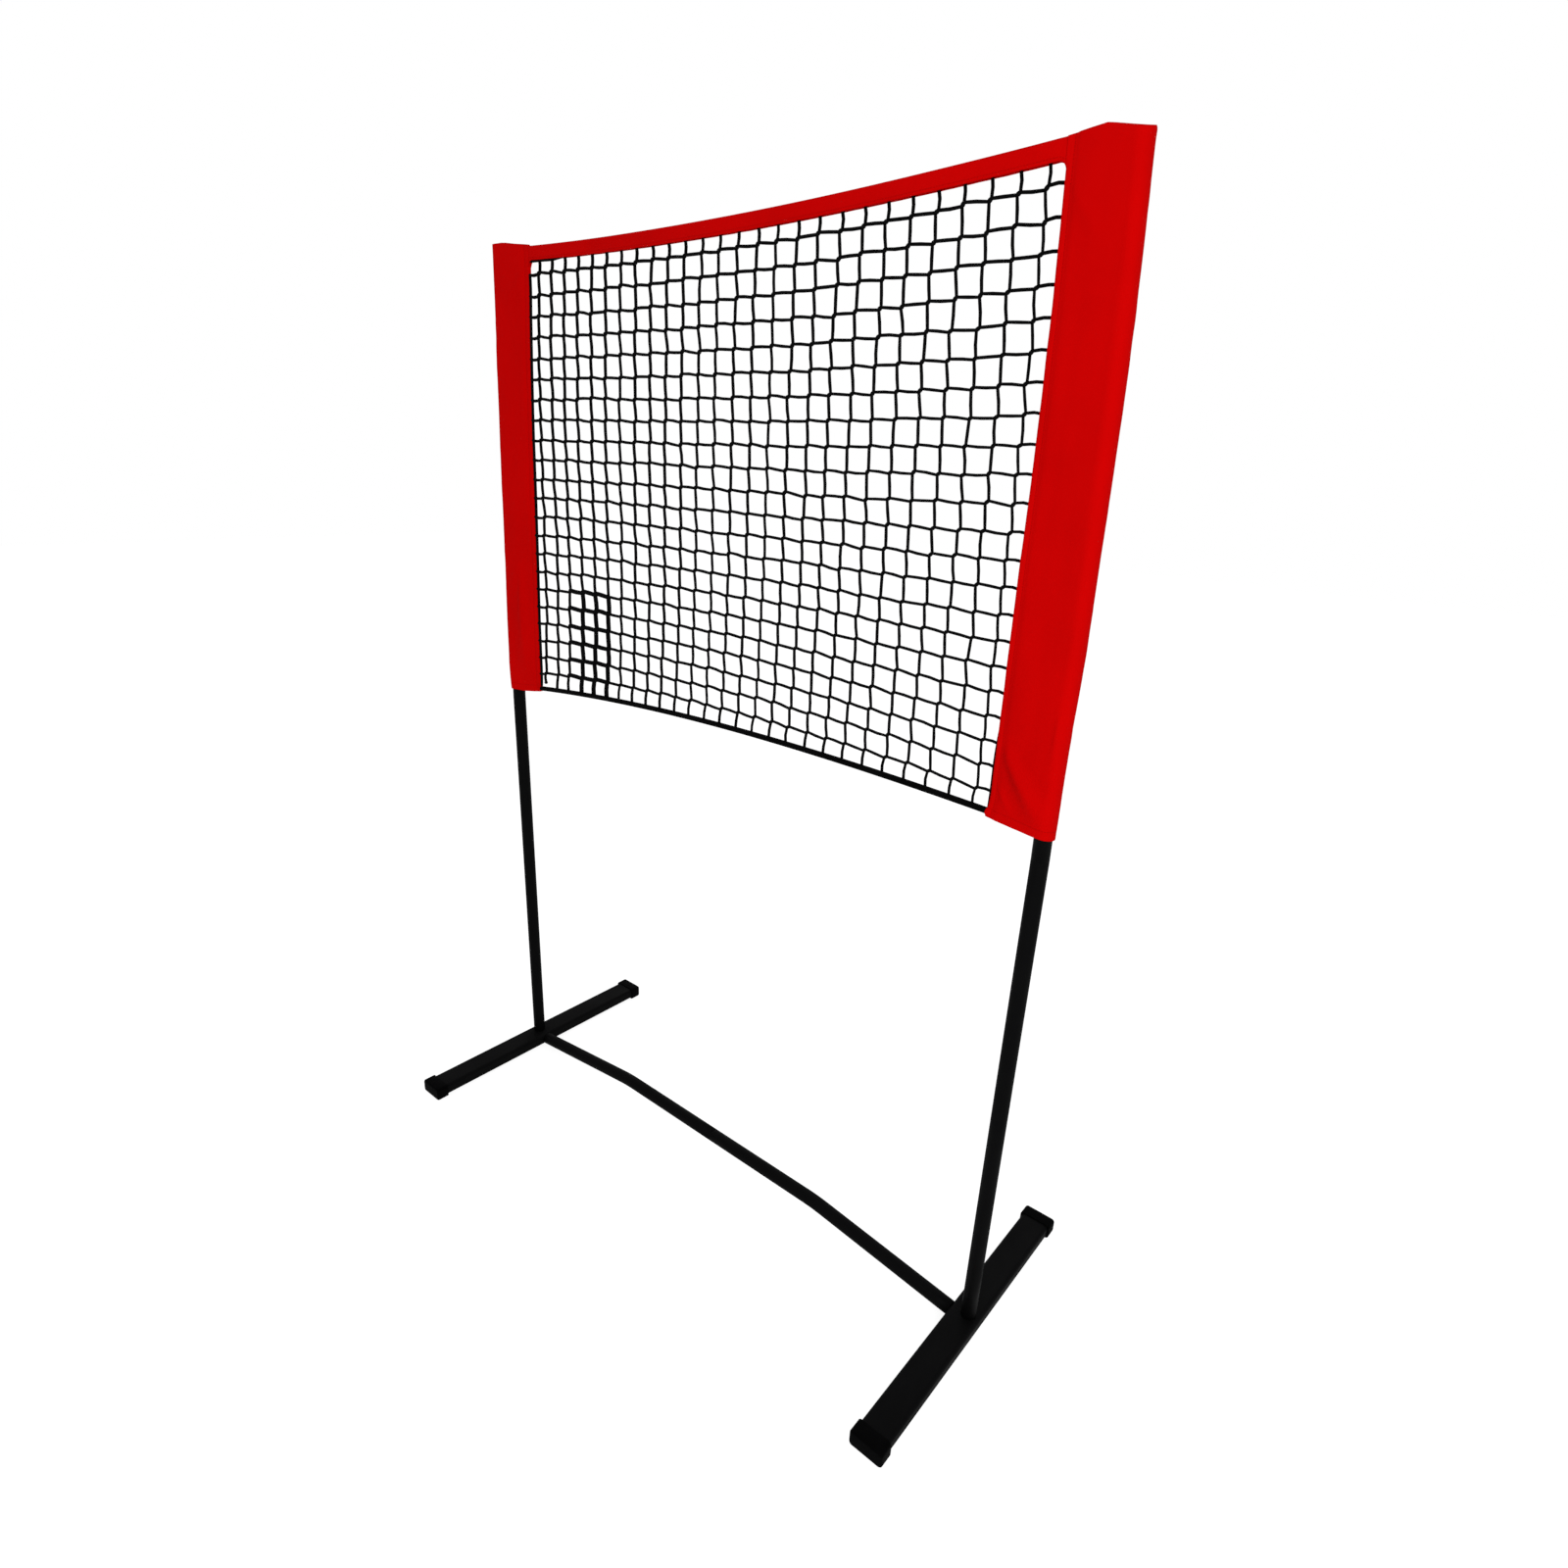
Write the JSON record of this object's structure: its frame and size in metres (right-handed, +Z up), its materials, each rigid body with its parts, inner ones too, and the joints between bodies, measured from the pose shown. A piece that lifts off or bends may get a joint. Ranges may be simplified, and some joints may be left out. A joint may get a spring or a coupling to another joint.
{
  "type": "free-standing practice net",
  "caption": "Free-standing practice net: a square mesh between two pocket sleeves on a push-fit tube frame with flat feet and a low ground rail.",
  "frame": {"origin": "on the ground, midway between the two uprights", "axes": "+X along the net to the right, +Y through the net to the rear, +Z up"},
  "size_m": [1.115, 0.53, 1.55],
  "materials": {
    "tube_paint": "black powder coat, satin",
    "cap_rubber": "moulded, matt",
    "plug_plastic": "moulded, matt",
    "red_fabric": "plain-woven coated polyester",
    "net_twine": "braided polyester twine",
    "edge_cord": "braided polyester cord"
  },
  "bodies": {
    "base": {"left_foot_tube": "tube_paint", "right_foot_tube": "tube_paint", "left_front_cap": "cap_rubber", "left_rear_cap": "cap_rubber", "right_front_cap": "cap_rubber", "right_rear_cap": "cap_rubber", "left_upright_spigot": "tube_paint", "right_upright_spigot": "tube_paint", "left_rail_spigot": "tube_paint", "right_rail_spigot": "tube_paint", "left_rail": "tube_paint", "right_rail": "tube_paint"},
    "left_lower": {"left_lower_upright": "tube_paint"},
    "right_lower": {"right_lower_upright": "tube_paint"},
    "left_upper": {"left_upper_upright": "tube_paint", "left_top_plug": "plug_plastic"},
    "right_upper": {"right_upper_upright": "tube_paint", "right_top_plug": "plug_plastic"},
    "net": {"left_sleeve": "red_fabric", "right_sleeve": "red_fabric", "top_band": "red_fabric", "headline_cord": "edge_cord", "left_side_cord": "edge_cord", "right_side_cord": "edge_cord", "net_mesh": "net_twine", "bottom_cord": "edge_cord"}
  },
  "joints": [
    {"name": "left_lower_lift", "type": "slide", "parent": "base", "child": "left_lower", "axis": [0, 0, 1], "range_m": [0, 0.06]},
    {"name": "right_lower_lift", "type": "slide", "parent": "base", "child": "right_lower", "axis": [0, 0, 1], "range_m": [0, 0.06]},
    {"name": "left_upper_pull", "type": "slide", "parent": "left_lower", "child": "left_upper", "axis": [0, 0, 1], "range_m": [0, 0.07]},
    {"name": "right_upper_pull", "type": "slide", "parent": "right_lower", "child": "right_upper", "axis": [0, 0, 1], "range_m": [0, 0.07]},
    {"name": "net_lift", "type": "slide", "parent": "left_upper", "child": "net", "axis": [0, 0, 1], "range_m": [0, 0.8]}
  ],
  "couplings": [
    {"joint": "right_lower_lift", "follows": "left_lower_lift", "ratio": 1},
    {"joint": "right_upper_pull", "follows": "left_upper_pull", "ratio": 1}
  ]
}
